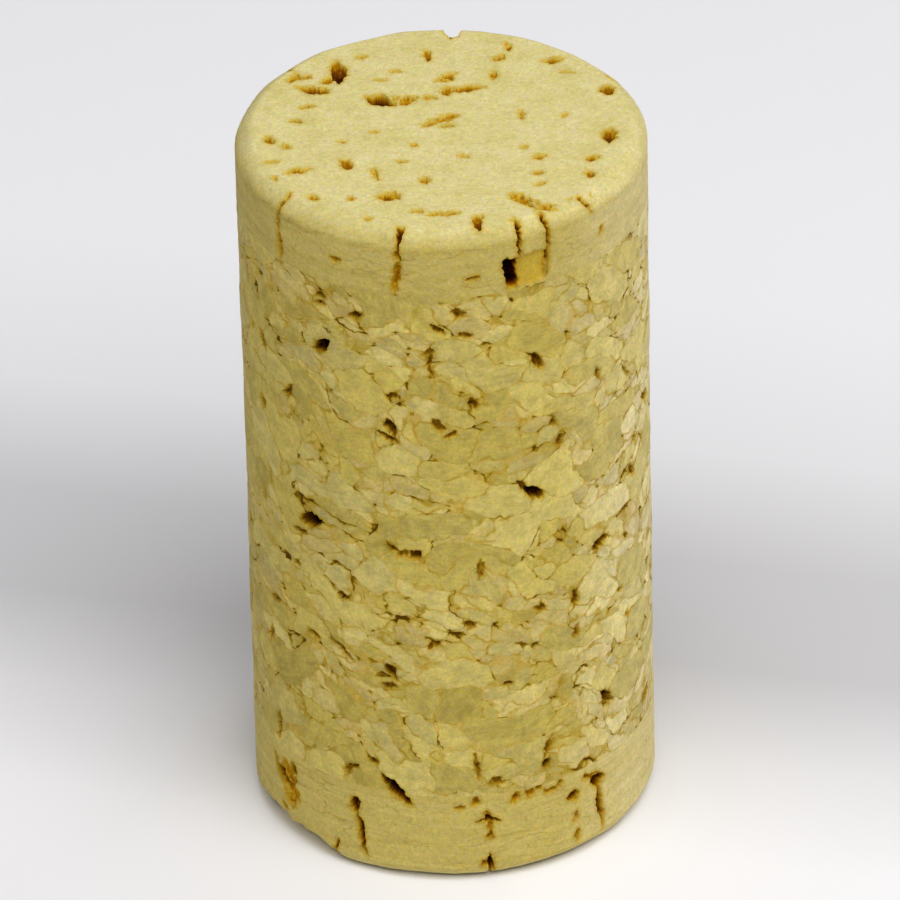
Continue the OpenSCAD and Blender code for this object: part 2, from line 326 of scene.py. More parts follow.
# Name, turn from the front towards the right and lean from straight above in degrees, size in metres, share
LAMPS = [("key", 32, 30, 0.42, 0.6), ("fill", -28, 28, 0.5, 0.3), ("rim", 118, 66, 0.4, 0.09)]
FLOOR_SIZE = 3.0


def colour(red, green, blue):
    """Linear colour, with full alpha, of an sRGB colour given from 0 to 255."""
    shares = [c / 255 for c in (red, green, blue)]
    return [s / 12.92 if s <= 0.04045 else ((s + 0.055) / 1.055) ** 2.4 for s in shares] + [1.0]


# Noise on arrays of points: what mixes a cell's place into a random number, and a seed for each use

HASH_PLACE = np.array([73856093, 19349663, 83492791])
HASH_SEED = 668265263
HASH_MIX = [(15, 2246822519), (13, 3266489917)]
SEEDS = {
    "ragged_coarse": 11, "ragged_fine": 23, "floor": 31, "floor_rise": 37, "waves": 41, "grain": 43,
    "rim_wear": 47, "specks": 53, "worn": 59,
}


def lattice_noise(points, size, seed):
    """Smooth noise from -1 to 1, which changes over about size millimetres."""
    scaled = points / size
    cell = np.floor(scaled).astype(np.int64)
    part = scaled - cell
    part = part * part * (3 - 2 * part)
    total = np.zeros(len(points))
    for corner in np.ndindex(2, 2, 2):
        share = np.where(corner, part, 1 - part).prod(axis=1)
        key = (cell + corner) @ HASH_PLACE + seed * HASH_SEED
        for bits, factor in HASH_MIX:
            key = (key ^ (key >> bits)) * factor
        total += share * (((key >> 16) & 0xFFFF) / 32767.5 - 1)
    return total


def noise_vector(points, size, seed):
    """Three such noises at each point, as a vector."""
    return np.stack([lattice_noise(points, size, seed + k) for k in range(3)], axis=1)


# Plain forms: points and faces of a disc and of the body, before any mark

def ring_faces(first, second):
    """Quads between two closed rings of as many points."""
    return [
        (first[k - 1], first[k], second[k], second[k - 1])
        for k in range(len(first))
    ]


def round_grid(cells):
    """Unit disc as a square grid bent round: points, quads and the rim's points in order."""
    steps = np.linspace(-1, 1, cells + 1)
    a, b = np.meshgrid(steps, steps, indexing="ij")
    upright = np.abs(b) > np.abs(a)
    reach = np.where(upright, b, a)
    safe = np.where(reach == 0, 1, reach)
    slant = np.pi / 4 * np.where(upright, a, b) / safe
    angle = np.where(upright, np.pi / 2 - slant, slant)
    points = np.stack([reach * np.cos(angle), reach * np.sin(angle)], axis=-1).reshape(-1, 2)
    number = np.arange((cells + 1) ** 2).reshape(cells + 1, cells + 1)
    quads = np.stack([number[:-1, :-1], number[1:, :-1], number[1:, 1:], number[:-1, 1:]], axis=-1)
    rim = np.concatenate([number[-1, :-1], number[:0:-1, -1], number[0, :0:-1], number[:-1, 0]])
    return points, quads.reshape(-1, 4).tolist(), rim


def disc_form(outer_z, join_z, edge_r):
    """A disc with a worn edge round its outer face and a flat cap at its join."""
    side = 1 if outer_z > join_z else -1
    flat_r = RADIUS - edge_r
    grid, faces, rim = round_grid(FACE_CELLS)
    points = [np.column_stack([grid * flat_r, np.full(len(grid), outer_z)])]
    spokes = grid[rim]
    bends = np.linspace(0, np.pi / 2, EDGE_ROWS + 1)[1:]
    rows = [(flat_r + edge_r * np.sin(t), outer_z - side * edge_r * (1 - np.cos(t))) for t in bends]
    straight = abs(outer_z - join_z) - edge_r
    steps = round(straight / DISC_ROW_STEP)
    rows += [(RADIUS, rows[-1][1] - side * straight * k / steps) for k in range(1, steps + 1)]
    ring = rim
    for row_r, row_z in rows:
        count = sum(len(p) for p in points)
        following = np.arange(count, count + len(rim))
        points.append(np.column_stack([spokes * row_r, np.full(len(rim), row_z)]))
        faces += ring_faces(ring, following)
        ring = following
    points.append(np.array([[0, 0, join_z]]))
    middle = sum(len(p) for p in points) - 1
    faces += [(ring[k - 1], ring[k], middle) for k in range(len(ring))]
    return np.concatenate(points), faces


def body_form():
    """The granule body between the two joins, with a flat cap at each."""
    angles = np.linspace(0, 2 * np.pi, BODY_COLUMNS, endpoint=False)
    spokes = np.column_stack([np.cos(angles), np.sin(angles)]) * RADIUS
    points, faces, rings = [], [], []
    for k, row_z in enumerate(np.linspace(BOTTOM_JOIN, TOP_JOIN, BODY_ROWS + 1)):
        points.append(np.column_stack([spokes, np.full(BODY_COLUMNS, row_z)]))
        rings.append(np.arange(k * BODY_COLUMNS, (k + 1) * BODY_COLUMNS))
    for lower, upper in zip(rings, rings[1:]):
        faces += ring_faces(lower, upper)
    for ring, cap_z in ((rings[0], BOTTOM_JOIN), (rings[-1], TOP_JOIN)):
        middle = sum(len(p) for p in points)
        points.append(np.array([[0, 0, cap_z]]))
        faces += [(ring[k - 1], ring[k], middle) for k in range(len(ring))]
    return np.concatenate(points), faces


def disc_outward(outer_z, join_z, edge_r):
    """Gives the outward direction at points of a disc, and nothing at the middle of its cap."""
    side = 1 if outer_z > join_z else -1

    def outward(points):
        reach = np.hypot(points[:, 0], points[:, 1])
        spokes = points[:, :2] / np.maximum(reach, TINY)[:, None]
        across = np.maximum(reach - (RADIUS - edge_r), 0)
        along = np.maximum(side * (points[:, 2] - outer_z) + edge_r, 0)
        size = np.maximum(np.hypot(across, along), TINY)
        return np.column_stack([spokes * (across / size)[:, None], side * along / size])

    return outward


def body_outward(points):
    """Outward direction at points of the body's side, and nothing at the middles of its caps."""
    reach = np.hypot(points[:, 0], points[:, 1])
    return np.column_stack([points[:, :2] / np.maximum(reach, TINY)[:, None], np.zeros(len(points))])


# Wear and marks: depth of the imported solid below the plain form

def solid_tree(node):
    """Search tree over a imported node's triangles, in millimetres."""
    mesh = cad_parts[node].data
    points = [v.co / MM for v in mesh.vertices]
    return BVHTree.FromPolygons(points, [tuple(p.vertices) for p in mesh.polygons])


def ragged(points, outward):
    """Points moved a little along the surface, which makes the outlines found there ragged."""
    shift = RAGGED_COARSE * noise_vector(points, RAGGED_COARSE_SIZE, SEEDS["ragged_coarse"])
    shift += RAGGED_FINE * noise_vector(points, RAGGED_FINE_SIZE, SEEDS["ragged_fine"])
    return points + shift - (shift * outward).sum(axis=1)[:, None] * outward


def speck_depth(flat, rows):
    """Depth of the specks in a list, at places on the face or on the unrolled side."""
    depth = np.zeros(len(flat))
    level = np.column_stack([flat, depth])
    rough = SPECK_ROUGH * lattice_noise(level, SPECK_ROUGH_SIZE, SEEDS["specks"])
    for x, y, length, width, lean in rows:
        cos, sin = math.cos(math.radians(lean)), math.sin(math.radians(lean))
        along = ((flat[:, 0] - x) * cos + (flat[:, 1] - y) * sin) / (length / 2)
        across = ((flat[:, 1] - y) * cos - (flat[:, 0] - x) * sin) / (width / 2)
        bowl = np.clip(1 + rough - along ** 2 - across ** 2, 0, 1)
        depth = np.maximum(depth, min(SPECK_DEPTH * width, SPECK_DEEPEST) * np.sqrt(bowl))
    return depth


def unrolled(points):
    """Arc length from the front, towards +X, and height of points on the side."""
    return np.column_stack([RADIUS * np.arctan2(points[:, 0], -points[:, 1]), points[:, 2]])


def on_side(rows):
    """Specks listed by turn, placed by arc length instead."""
    return [(RADIUS * math.radians(turn), *rest) for turn, *rest in rows]


def not_worn(points, outward):
    """No wear, for the body."""
    return np.zeros(len(points))


def flake_worn(points, outward):
    """Depth of the place that the flake left."""
    turn = np.degrees(np.arctan2(points[:, 0], -points[:, 1]))
    inside = (turn > FLAKE_TURNS[0]) & (turn < FLAKE_TURNS[1])
    inside &= (points[:, 2] > FLAKE_HEIGHTS[0]) & (points[:, 2] < FLAKE_HEIGHTS[1])
    return np.where(inside, FLAKE_DEPTH, 0.0)


def rim_worn(points, outward):
    """Depth of the flat on the lower rim."""
    towards = np.array([math.sin(WEAR_TURN), -math.cos(WEAR_TURN), 0])
    flat = WEAR_UP * towards - np.array([0, 0, WEAR_IN])
    flat /= np.linalg.norm(flat)
    outside = (points - (RADIUS - WEAR_IN) * towards) @ flat
    return np.maximum(outside, 0) / np.maximum(outward @ flat, WEAR_LEAST_SLOPE)


def solid_depth(tree, points, outward, low_z, high_z, worn_of):
    """How far the solid is worn below each point, and how deep its ragged marks are below that."""
    start = ragged(points, outward)
    start[:, 2] = np.clip(start[:, 2], low_z, high_z)
    worn = worn_of(start, outward)
    start += RAY_LIFT * outward
    depth = np.zeros(len(points))
    for k in np.flatnonzero(np.abs(outward).sum(axis=1) > 0):
        found = tree.ray_cast(Vector(start[k]), Vector(-outward[k]), RAY_REACH)
        if found[3] is not None:
            depth[k] = max(found[3] - RAY_LIFT, 0)
    uneven = 1 + FLOOR_UNEVEN * lattice_noise(points, RAGGED_FINE_SIZE, SEEDS["floor"])
    rise = np.minimum(lattice_noise(points, FLOOR_RISE_SIZE, SEEDS["floor_rise"]), 0)
    uneven += FLOOR_RISE * rise
    return worn, np.maximum(depth - worn, 0) * uneven


def bmesh_points(bm):
    return np.array([v.co for v in bm.verts])


def crisp_rim(middle):
    """Keeps a flat cap and the side apart in shading, from the cap's middle point."""
    for face in middle.link_faces:
        for edge in face.edges:
            edge.smooth = middle in edge.verts


def refined(points, faces, depth_of):
    """The form as a bmesh, with finer cells where depth_of finds a mark."""
    mesh = bpy.data.meshes.new("plain_form")
    mesh.from_pydata(points.tolist(), [], faces)
    bm = bmesh.new()
    bm.from_mesh(mesh)
    bpy.data.meshes.remove(mesh)
    in_mark = depth_of(bmesh_points(bm))[1] > MARK_DEPTH
    touched = {face for vert in bm.verts if in_mark[vert.index] for face in vert.link_faces}
    edges = list({edge for face in touched if len(face.verts) == 4 for edge in face.edges})
    bmesh.ops.subdivide_edges(bm, edges=edges, cuts=MARK_CUTS, use_grid_fill=True)
    bmesh.ops.recalc_face_normals(bm, faces=bm.faces[:])
    for vert in bm.verts:
        if vert.co.xy.length < LEVEL and len(vert.link_faces) > 4:
            crisp_rim(vert)
    return bm


def distance_to_marks(points, depth):
    """Distance from each point to the nearest deep part of a mark."""
    deep = np.flatnonzero(depth > DEEP_MARK)
    tree = KDTree(len(deep))
    for k in deep:
        tree.insert(Vector(points[k]), int(k))
    tree.balance()
    return np.array([tree.find(Vector(p))[2] for p in points])


# Making a piece: mesh, attributes and a map for its surface

def set_attribute(mesh, name, values):
    """Stores a number or a vector at each point of a mesh."""
    kind, key = ("FLOAT_VECTOR", "vector") if values.ndim == 2 else ("FLOAT", "value")
    made = mesh.attributes.new(name, kind, "POINT")
    made.data.foreach_set(key, values.astype(np.float32).ravel())


def plain_relief(points):
    """How far waves and grain lower the surface."""
    waves = WAVE_HEIGHT * (1 + lattice_noise(points, WAVE_SIZE, SEEDS["waves"]))
    grain = GRAIN_HEIGHT * (1 + lattice_noise(points, GRAIN_SIZE, SEEDS["grain"]))
    return waves + grain


def rim_relief(points, outward):
    """How far wear lowers the rounded rim of a disc, and nothing elsewhere."""
    share = 2 * np.abs(outward[:, 2]) * np.hypot(outward[:, 0], outward[:, 1])
    return RIM_WEAR * share * (1 + lattice_noise(points, RIM_WEAR_SIZE, SEEDS["rim_wear"])) / 2


def place_points(mesh, points):
    mesh.vertices.foreach_set("co", (points * MM).astype(np.float32).ravel())
    mesh.update()


def per_corner(mesh):
    """The point and the face that each corner of a mesh belongs to, and the faces' sizes."""
    corner_point = np.zeros(len(mesh.loops), np.int32)
    mesh.loops.foreach_get("vertex_index", corner_point)
    sizes = np.zeros(len(mesh.polygons), np.int32)
    mesh.polygons.foreach_get("loop_total", sizes)
    return corner_point, np.repeat(np.arange(len(sizes)), sizes), sizes


def surface_map(mesh, points, slot, ends):
    """Flat map of a piece: its side unrolled in strips, and its end faces as rounds beside them."""
    strips, rounds = MAPS[slot]
    corner_point, owner, sizes = per_corner(mesh)
    corners = points[corner_point]
    middles = np.column_stack([np.bincount(owner, corners[:, k]) / sizes for k in range(3)])[owner]
    turn = np.arctan2(corners[:, 1], corners[:, 0]) / (2 * np.pi)
    middle_turn = np.arctan2(middles[:, 1], middles[:, 0]) / (2 * np.pi)
    turn += np.round(middle_turn - turn) + 0.5
    strip = np.clip(np.floor((middle_turn + 0.5) * len(strips)), 0, len(strips) - 1).astype(int)
    low, height = np.array(strips)[strip].T
    rise = (corners[:, 2] - min(ends)) / (max(ends) - min(ends))
    across = MAP_EDGE + (1 - 2 * MAP_EDGE) * (turn * len(strips) - strip)
    flat = np.column_stack([across, low + height * rise])
    for end_z, (right, up, reach) in zip(ends, rounds):
        on_end = np.abs(middles[:, 2] - end_z) < LEVEL
        flat[on_end] = corners[on_end, :2] / RADIUS * reach + (right, up)
    layer = mesh.uv_layers.new(name="OFBake")
    layer.data.foreach_set("uv", flat.astype(np.float32).ravel())


def finish_piece(bm, node, slot, points, outward, depth, ends):
    """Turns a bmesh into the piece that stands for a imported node, with what its finish reads."""
    mesh = bpy.data.meshes.new(node + "_cork")
    bm.to_mesh(mesh)
    bm.free()
    mesh.shade_smooth()
    set_attribute(mesh, "rest", points)
    set_attribute(mesh, "depth", depth)
    set_attribute(mesh, "near", distance_to_marks(points, depth))
    set_attribute(mesh, "face", np.abs(outward[:, 2]))
    surface_map(mesh, points, slot, ends)
    piece = bpy.data.objects.new(node + "_cork", mesh)
    bpy.context.scene.collection.objects.link(piece)
    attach(piece, "root")
    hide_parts(node)
    return piece


# Node graphs

class Graph:
    """Short forms for making and joining the nodes of one tree."""

    def __init__(self, tree):
        self.tree = tree

    def node(self, kind, inputs, **settings):
        made = self.tree.nodes.new(kind)
        for name, value in settings.items():
            setattr(made, name, value)
        for key, value in inputs.items():
            if isinstance(value, bpy.types.NodeSocket):
                self.tree.links.new(value, made.inputs[key])
            else:
                made.inputs[key].default_value = value
        return made

    def math(self, operation, a, b=0.0):
        return self.node("ShaderNodeMath", {0: a, 1: b}, operation=operation).outputs[0]

    def vector(self, operation, a, b=(0, 0, 0), c=(0, 0, 0)):
        return self.node("ShaderNodeVectorMath", {0: a, 1: b, 2: c}, operation=operation).outputs[0]

    def scaled(self, a, factor):
        return self.node("ShaderNodeVectorMath", {0: a, "Scale": factor}, operation="SCALE").outputs[0]

    def noise(self, place, scale, detail=2.0, roughness=0.5):
        inputs = {"Vector": place, "Scale": scale, "Detail": detail, "Roughness": roughness}
        return self.node("ShaderNodeTexNoise", inputs).outputs

    def cells(self, place, scale, feature, **more):
        inputs = {"Vector": place, "Scale": scale, **more}
        return self.node("ShaderNodeTexVoronoi", inputs, feature=feature).outputs

    def ramp(self, value, low, high, to_low=0.0, to_high=1.0):
        """Smooth step of a value, from to_low at low to to_high at high."""
        inputs = {0: value, 1: low, 2: high, 3: to_low, 4: to_high}
        return self.node("ShaderNodeMapRange", inputs, interpolation_type="SMOOTHSTEP").outputs[0]

    def mix(self, share, a, shade):
        """A colour mixed with a plain one or with another socket's."""
        b = colour(*shade) if isinstance(shade, tuple) else shade
        return self.node("ShaderNodeMix", {0: share, 6: a, 7: b}, data_type="RGBA").outputs[2]

    def palette(self, value, stops):
        made = self.node("ShaderNodeValToRGB", {0: value})
        marks = made.color_ramp.elements
        while len(marks) < len(stops):
            marks.new(1.0)
        for mark, (place, shade) in zip(marks, stops):
            mark.position = place
            mark.color = colour(*shade)
        return made.outputs[0]

    def parts(self, value):
        return self.node("ShaderNodeSeparateXYZ", {0: value}).outputs


def granules(graph, place):
    """How closely granules meet, 1 on a seam and more on a knot, and a random tone for each granule."""
    moved = place
    for scale, reach in GRANULE_WANDER:
        wander = graph.vector("SUBTRACT", graph.noise(place, scale, WANDER_DETAIL)[1], MIDDLE)
        moved = graph.vector("ADD", moved, graph.scaled(wander, reach))
    tilted = {"Vector": moved, "Angle": GRANULE_TILT}
    moved = graph.node("ShaderNodeVectorRotate", tilted, rotation_type="Y_AXIS").outputs[0]
    moved = graph.vector("MULTIPLY", moved, GRANULE_STRETCH)
    meets, tones = [], []
    for size in (GRANULE_LARGE, GRANULE_SMALL):
        soft = SEAM_SOFT / size
        nearest = graph.cells(moved, 1 / size, "F1")
        blended = graph.cells(moved, 1 / size, "SMOOTH_F1", Smoothness=soft)["Distance"]
        gap = graph.math("SUBTRACT", nearest["Distance"], blended)
        meets.append(graph.math("MULTIPLY", gap, MEET_SCALE / soft))
        tones.append(nearest["Color"])
    split = graph.math("GREATER_THAN", graph.parts(tones[0])[0], SPLIT_ABOVE)
    meet = graph.math("ADD", meets[0], graph.math("MULTIPLY", meets[1], split))
    chosen = graph.node("ShaderNodeMix", {0: split, 4: tones[0], 5: tones[1]}, data_type="VECTOR")
    return meet, chosen.outputs[1]


def knot_share(graph, place, meet):
    """How strongly a knot of seams shows as a small dark gap."""
    chance = graph.ramp(graph.noise(place, *KNOT_NOISE)[0], *KNOT_CHANCE)
    return graph.math("MULTIPLY", graph.ramp(meet, KNOT_FROM, KNOT_FULL), chance)


def seam_share(graph, place, meet, near):
    """How strongly a seam shows: a soft line whose width and strength vary, and grow beside a void."""
    patch = graph.noise(place, *SEAM_PATCH_NOISE)[0]
    line = graph.ramp(meet, graph.ramp(patch, *SEAM_PATCHES, SEAM_FINE, SEAM_WIDE), ON_SEAM)
    line = graph.math("MULTIPLY", line, graph.ramp(meet, *SEAM_INTO_KNOT))
    strength = graph.ramp(graph.noise(place, *SEAM_STRENGTH_NOISE)[0], *SEAM_STRENGTH)
    close = graph.ramp(near, *SEAM_BY_VOID)
    return graph.math("MULTIPLY", line, graph.math("MAXIMUM", strength, close))


def granule_fields(piece):
    """Works the granule pattern out at a piece's points: seams, knots and random tones."""
    tree = bpy.data.node_groups.new("granule_fields", "GeometryNodeTree")
    tree.interface.new_socket("Geometry", in_out="INPUT", socket_type="NodeSocketGeometry")
    tree.interface.new_socket("Geometry", in_out="OUTPUT", socket_type="NodeSocketGeometry")
    graph = Graph(tree)
    inlet = graph.node("NodeGroupInput", {}).outputs[0]
    named = "GeometryNodeInputNamedAttribute"
    place = graph.node(named, {0: "granule_place"}, data_type="FLOAT_VECTOR").outputs[0]
    near = graph.node(named, {0: "near"}, data_type="FLOAT").outputs[0]
    meet, tone = granules(graph, place)
    fields = {
        "seam": seam_share(graph, place, meet, near),
        "knot": knot_share(graph, place, meet),
        "tone": graph.parts(tone)[1],
    }
    for name, value in fields.items():
        inputs = {"Geometry": inlet, "Name": name, "Value": value}
        inlet = graph.node("GeometryNodeStoreNamedAttribute", inputs, data_type="FLOAT").outputs[0]
    graph.node("NodeGroupOutput", {0: inlet})
    modifier = piece.modifiers.new("granule_fields", "NODES")
    modifier.node_group = tree
    made = piece.evaluated_get(bpy.context.evaluated_depsgraph_get()).data
    found = {}
    for name in fields:
        found[name] = np.zeros(len(made.vertices), np.float32)
        made.attributes[name].data.foreach_get("value", found[name])
    piece.modifiers.remove(modifier)
    bpy.data.node_groups.remove(tree)
    return found


def granule_corners(mesh, points, tone):
    """Places where three granules or more meet, found on the faces of a mesh."""
    corners = []
    for face in mesh.polygons:
        if face.loop_total == 4 and len({round(float(tone[k]), TONE_DIGITS) for k in face.vertices}) > 2:
            corners.append(points[list(face.vertices)].mean(axis=0))
    return np.array(corners)


def void_centres(points, depth):
    """The deepest point of each void."""
    chosen = []
    for k in np.argsort(-depth):
        if depth[k] < DEEP_MARK:
            break
        if all(np.linalg.norm(points[k] - points[c]) > VOID_SPACING for c in chosen):
            chosen.append(k)
    return points[chosen]


def drawn_to_voids(points, centres, corners):
    """Where to read the granule pattern, so that granules meet at the voids."""
    total = np.zeros_like(points)
    weight = np.zeros(len(points))
    for centre in centres:
        away = corners - centre
        nearest = away[np.argmin((away ** 2).sum(axis=1))]
        if np.linalg.norm(nearest) < CORNER_REACH:
            share = np.exp(-((points - centre) ** 2).sum(axis=1) / (2 * CORNER_SPREAD ** 2))
            total += share[:, None] * nearest
            weight += share
    return points + total / np.maximum(weight, 1)[:, None]


# Materials

def new_material(name):
    """A material with a dry surface, with its graph and its shader."""
    material = bpy.data.materials.new(name)
    material.use_nodes = True
    shader = material.node_tree.nodes["Principled BSDF"]
    for socket, value in DRY_SURFACE.items():
        shader.inputs[socket].default_value = value
    return material, Graph(material.node_tree), shader


def attribute(graph, name):
    return graph.node("ShaderNodeAttribute", {}, attribute_name=name).outputs


def painted_sheen_right(graph, place, shade):
    """A colour made paler towards the right: painted sheen, standing in for light reflected on the lit
    side.
    """
    share = graph.ramp(graph.parts(place)[0], *PAINTED_SHEEN_SPAN)
    return graph.vector("MULTIPLY", shade, graph.vector("MULTIPLY_ADD", share, PAINTED_SHEEN_TINT, (1, 1, 1)))


def speckled(graph, place, shade):
    """A colour with a fine grain that differs a little between its channels."""
    grain = graph.noise(place, *GRAIN_NOISE)
    level = graph.math("ADD", graph.math("MULTIPLY", grain[0], GRAIN_LEVEL), 1 - GRAIN_LEVEL / 2)
    apart = graph.vector("SUBTRACT", grain[1], MIDDLE)
    return graph.vector("MULTIPLY", shade, graph.vector("MULTIPLY_ADD", apart, GRAIN_CHANNELS, level))


def marked(graph, place, base, stain_reach, stops):
    """A base colour with its marks coloured by their depth, brown cork that turns darker with depth partly
    as painted shade, and a golden stain round each.
    """
    uneven = graph.noise(place, *MARK_NOISE)[0]
    depth = attribute(graph, "depth")["Fac"]
    inside = graph.ramp(depth, *MARK_INSIDE)
    shift = graph.math("MULTIPLY", inside, graph.ramp(uneven, *MARK_UNEVEN))
    depth = graph.math("ADD", depth, shift)
    near = graph.math("ADD", attribute(graph, "near")["Fac"], graph.ramp(uneven, *STAIN_UNEVEN))
    stain = graph.math("MAXIMUM", graph.ramp(near, STAIN_FROM, stain_reach, 1.0, 0.0), inside)
    stained = graph.mix(stain, base, graph.vector("MULTIPLY", base, STAIN))
    return graph.mix(graph.ramp(depth, *MARK_COLOURED), stained, graph.palette(depth, stops))


def finish_surface(graph, shader, place, shade):
    """Joins a colour to the shader, with a fine grain in its bump and roughness, and marks left dull."""
    grain = graph.noise(place, *BUMP_NOISE)[0]
    inputs = {"Strength": BUMP_STRENGTH, "Distance": BUMP_HEIGHT, "Height": grain}
    bump = graph.node("ShaderNodeBump", inputs).outputs[0]
    dull = graph.ramp(attribute(graph, "depth")["Fac"], *MARK_DULL)
    rough = graph.math("ADD", graph.ramp(grain, *GRAIN_ROUGHNESS), dull)
    for name, value in (("Base Color", shade), ("Normal", bump), ("Roughness", rough)):
        graph.tree.links.new(value, shader.inputs[name])


def natural_cork(name, tone, fresh):
    """Rippled sides and a paler face: tone brightens the side, and fresh shows where it is worn."""
    material, graph, shader = new_material(name)
    place = attribute(graph, "rest")["Vector"]
    bands = graph.noise(graph.vector("MULTIPLY", place, BAND_STRETCH), *BAND_NOISE)[0]
    side = graph.scaled(graph.palette(bands, DISC_SIDE), tone)
    wave = graph.noise(graph.vector("MULTIPLY", place, RIPPLE_STRETCH), *RIPPLE_NOISE)[0]
    folds = graph.math("FRACT", graph.math("MULTIPLY", wave, RIPPLE_FOLDS))
    ripple = graph.ramp(graph.math("ABSOLUTE", graph.math("SUBTRACT", folds, 0.5)), *RIPPLE_LINE)
    faint = graph.ramp(graph.noise(place, *RIPPLE_PATCH_NOISE)[0], *RIPPLE_STRENGTH)
    # Ripples, then a paler right side: painted sheen standing in for reflected light
    side = painted_sheen_right(graph, place, graph.mix(graph.math("MULTIPLY", ripple, faint), side, DISC_RIPPLE))
    mottle = graph.noise(graph.vector("MULTIPLY", place, SIDE_MOTTLE_STRETCH), *SIDE_MOTTLE_NOISE)[0]
    side = graph.scaled(side, graph.ramp(mottle, *SIDE_MOTTLE))
    end = graph.palette(graph.noise(place, *FACE_NOISE)[0], DISC_FACE)
    end = graph.scaled(end, graph.ramp(graph.noise(place, *FACE_MOTTLE_NOISE)[0], *FACE_MOTTLE))
    base = graph.mix(attribute(graph, "face")["Fac"], side, end)
    flecks = graph.ramp(graph.noise(place, *FLECK_NOISE)[0], *FLECKS)
    base = graph.mix(flecks, base, DISC_FLECK)
    broken = graph.ramp(attribute(graph, "worn")["Fac"], *FRESH_DEPTHS, 0.0, fresh)
    base = speckled(graph, place, graph.mix(broken, base, FRESH_CORK))
    finish_surface(graph, shader, place, marked(graph, place, base, DISC_STAIN_REACH, DISC_MARKS_AND_DEPTH_SHADE))
    return material


def granule_streaks(graph, place, tone):
    """Fine streaks, from 0 to 1, that run another way in each granule."""
    around = {
        "Vector": place,
        "Axis": graph.vector("SUBTRACT", tone, MIDDLE),
        "Angle": graph.math("MULTIPLY", graph.parts(tone)[2], 2 * math.pi),
    }
    turned = graph.node("ShaderNodeVectorRotate", around).outputs[0]
    return graph.noise(graph.vector("MULTIPLY", turned, STREAK_STRETCH), *STREAK_NOISE)[0]


def granule_cork(name):
    """Granules that differ in colour, with seams and knots of seams between them."""
    material, graph, shader = new_material(name)
    place = attribute(graph, "rest")["Vector"]
    granule_place = attribute(graph, "granule_place")["Vector"]
    near = attribute(graph, "near")["Fac"]
    meet, tone = granules(graph, granule_place)
    hue, value = graph.parts(tone)[0], graph.parts(tone)[1]
    mottle = graph.ramp(graph.noise(place, *MOTTLE_NOISE)[0], *MOTTLE)
    streaks = granule_streaks(graph, place, tone)
    level = graph.math("ADD", graph.ramp(streaks, *STREAK_LEVEL), mottle)
    level = graph.math("ADD", level, graph.ramp(value, *TONE_LEVEL))
    # Paler towards the right: painted sheen standing in for light reflected on the lit side
    base = painted_sheen_right(graph, place, graph.scaled(graph.palette(hue, GRANULES), level))
    warm = graph.ramp(graph.noise(place, *WARM_NOISE)[0], *WARM)
    base = graph.mix(graph.math("MULTIPLY", warm, graph.ramp(meet, *WARM_MEET)), base, GRANULE_WARM)
    base = graph.mix(graph.ramp(streaks, *STROKES), base, STROKE_SHADE)
    base = speckled(graph, place, base)
    seam_shade = graph.palette(graph.noise(place, *SEAM_SHADE_NOISE)[0], SEAM_SHADES)
    line = graph.math("MULTIPLY", seam_share(graph, granule_place, meet, near), SEAM_COVER)
    base = graph.mix(line, base, seam_shade)
    knot = knot_share(graph, granule_place, meet)
    base = graph.mix(graph.ramp(knot, *KNOT_COVER), base, graph.palette(knot, KNOT_SHADES))
    finish_surface(graph, shader, place, marked(graph, place, base, VOID_STAIN_REACH, VOID_MARKS_AND_DEPTH_SHADE))
    return material


def floor_material():
    """A pale floor with a painted shadow band across it."""
    material, graph, shader = new_material("pale_floor")
    right, back, _ = graph.parts(graph.node("ShaderNodeTexCoord", {}).outputs["Object"])
    aslant = graph.math("ADD", back, graph.math("MULTIPLY", right, FLOOR_SLANT))
    inputs = {0: aslant, 1: FLOOR_SPAN[0], 2: FLOOR_SPAN[1]}
    shade = graph.palette(graph.node("ShaderNodeMapRange", inputs).outputs[0], FLOOR_PAINTED_SHADOW)
    graph.tree.links.new(shade, shader.inputs["Base Color"])
    return material


# Pieces

def make_disc(node, outer_z, join_z, edge_r, worn_of, face_specks, side_specks, look):
    """One disc of natural cork, in place of its node."""
    tree = solid_tree(node)
    outward_of = disc_outward(outer_z, join_z, edge_r)
    low_z = min(outer_z, join_z) + JOIN_MARGIN
    high_z = max(outer_z, join_z) - JOIN_MARGIN

    def depth_of(points):
        outward = outward_of(points)
        level = np.abs(points[:, 2] - outer_z) < LEVEL
        low, high = np.where(level, outer_z, low_z), np.where(level, outer_z, high_z)
        worn, depth = solid_depth(tree, points, outward, low, high, worn_of)
        moved = ragged(points, outward)
        face_depth = speck_depth(moved[:, :2], face_specks)
        side_depth = speck_depth(unrolled(moved), on_side(side_specks))
        side_depth = np.where(outward[:, 2] == 0, side_depth, 0)
        return worn, np.maximum(depth, np.where(level, face_depth, side_depth))

    bm = refined(*disc_form(outer_z, join_z, edge_r), depth_of)
    points = bmesh_points(bm)
    outward = outward_of(points)
    worn, depth = depth_of(points)
    piece = finish_piece(bm, node, "natural_cork", points, outward, depth, (outer_z, join_z))
    set_attribute(piece.data, "worn", worn)
    worn *= WEAR_SHARE + WEAR_UNEVEN * lattice_noise(points, WEAR_UNEVEN_SIZE, SEEDS["worn"])
    sunk = worn + depth + plain_relief(points) + rim_relief(points, outward)
    place_points(piece.data, points - outward * sunk[:, None])
    piece.data.materials.append(natural_cork(node + "_finish", *look))


